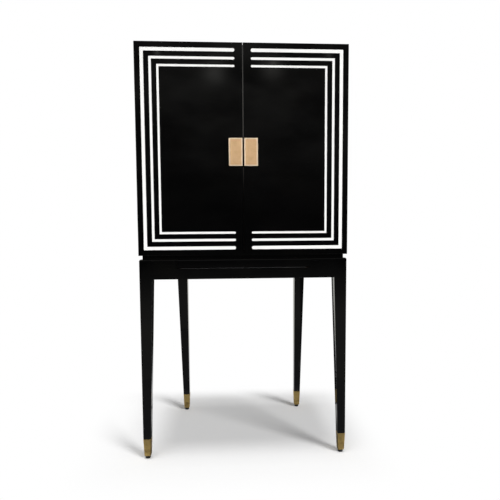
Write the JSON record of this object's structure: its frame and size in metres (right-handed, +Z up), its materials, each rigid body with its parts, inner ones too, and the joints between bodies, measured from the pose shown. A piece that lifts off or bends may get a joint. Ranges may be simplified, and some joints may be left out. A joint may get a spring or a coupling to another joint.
{
  "type": "bar cabinet",
  "caption": "Black lacquered bar cabinet on tapered legs: two hinged doors with white line inlay and brass pulls, and a slide-out serving shelf with a fold-down front edge.",
  "frame": {"origin": "on the floor under the middle of the whole cabinet's box, hinges and pulls included", "axes": "+Z up, -Y towards the person in front of the doors, +X to that person's right"},
  "size_m": [0.8212, 0.524, 1.615],
  "materials": {
    "black_lacquer": "polished black lacquer, mirror gloss",
    "white_inlay": "white resin inlay, flush and polished with the lacquer",
    "satin_brass": "pale champagne brass, brushed, with bright bevelled edges",
    "aged_brass": "aged brass, satin",
    "walnut": "dark walnut veneer, satin",
    "black_metal": "black painted steel, semi-gloss",
    "steel": "plain steel, brushed",
    "black_plastic": "moulded black plastic"
  },
  "bodies": {
    "cabinet": {"carcass_top": "black_lacquer", "carcass_bottom": "black_lacquer", "carcass_side_left": "black_lacquer", "carcass_side_right": "black_lacquer", "back_panel": "walnut", "fixed_shelf": "walnut", "bottle_divider": "walnut", "stemware_rail_1": "walnut", "stemware_rail_2": "walnut", "stemware_rail_3": "walnut", "stemware_rail_4": "walnut", "magnetic_catch": "black_plastic", "hinge_upper_left_box_leaf": "black_metal", "hinge_upper_left_pin": "black_metal", "hinge_lower_left_box_leaf": "black_metal", "hinge_lower_left_pin": "black_metal", "hinge_upper_right_box_leaf": "black_metal", "hinge_upper_right_pin": "black_metal", "hinge_lower_right_box_leaf": "black_metal", "hinge_lower_right_pin": "black_metal", "plinth_board": "black_lacquer", "apron_front": "black_lacquer", "rail_side_left": "black_lacquer", "rail_side_right": "black_lacquer", "rail_rear": "black_lacquer", "leg_front_left": "black_lacquer", "leg_front_right": "black_lacquer", "leg_rear_left": "black_lacquer", "leg_rear_right": "black_lacquer", "ferrule_front_left": "aged_brass", "ferrule_front_right": "aged_brass", "ferrule_rear_left": "aged_brass", "ferrule_rear_right": "aged_brass", "glide_front_left": "black_plastic", "glide_front_right": "black_plastic", "glide_rear_left": "black_plastic", "glide_rear_right": "black_plastic", "shelf_runner_left": "walnut", "shelf_runner_right": "walnut"},
    "left_door": {"door_left": "black_lacquer", "inlay_outer_left": "white_inlay", "inlay_middle_left": "white_inlay", "inlay_inner_left": "white_inlay", "pull_left": "satin_brass", "strike_plate_left": "steel", "hinge_upper_left_door_leaf": "black_metal", "hinge_lower_left_door_leaf": "black_metal"},
    "right_door": {"door_right": "black_lacquer", "inlay_outer_right": "white_inlay", "inlay_middle_right": "white_inlay", "inlay_inner_right": "white_inlay", "pull_right": "satin_brass", "strike_plate_right": "steel", "hinge_upper_right_door_leaf": "black_metal", "hinge_lower_right_door_leaf": "black_metal"},
    "serving_shelf": {"serving_shelf_board": "walnut", "drop_front_arm_left": "steel", "drop_front_arm_right": "steel"},
    "drop_front": {"drop_front": "black_lacquer", "drop_front_rod": "steel"}
  },
  "joints": [
    {"name": "left_door_hinge", "type": "hinge", "parent": "cabinet", "child": "left_door", "pos_m": [-0.4066, -0.223, 1.214], "axis": [0, 0, -1], "range_deg": [0, 180]},
    {"name": "right_door_hinge", "type": "hinge", "parent": "cabinet", "child": "right_door", "pos_m": [0.4066, -0.223, 1.214], "axis": [0, 0, 1], "range_deg": [0, 180]},
    {"name": "serving_shelf_slide", "type": "slide", "parent": "cabinet", "child": "serving_shelf", "axis": [0, -1, 0], "range_m": [0, 0.25]},
    {"name": "drop_front_hinge", "type": "hinge", "parent": "serving_shelf", "child": "drop_front", "pos_m": [0, -0.236, 0.7715], "axis": [1, 0, 0], "range_deg": [0, 90]}
  ]
}
